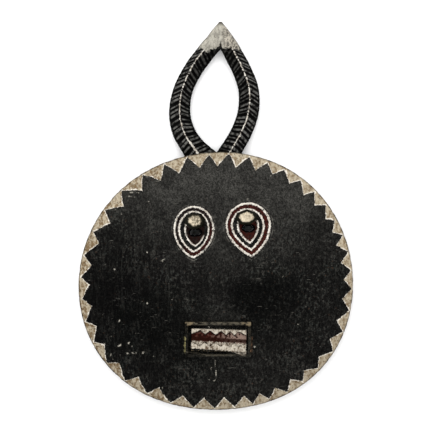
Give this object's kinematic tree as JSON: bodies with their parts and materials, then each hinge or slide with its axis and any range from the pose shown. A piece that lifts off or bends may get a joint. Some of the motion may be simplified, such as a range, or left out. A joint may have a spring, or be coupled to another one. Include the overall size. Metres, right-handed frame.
{
  "type": "kple kple mask",
  "caption": "Domed round wooden mask with a toothed rim, ringed eyes with sight holes, a framed mouth and horns that meet in one tip.",
  "frame": {"origin": "below the middle of the mask's bounding box, on the surface that the rim lies on", "axes": "+Z out of the face, +Y towards the tip of the horns, +X to the right as a viewer sees the face"},
  "size_m": [0.381, 0.5396, 0.0697],
  "materials": {
    "carved_wood": "black, white and red pigment on wood, worn satin"
  },
  "bodies": {
    "root": {"mask": "carved_wood"}
  },
  "joints": []
}
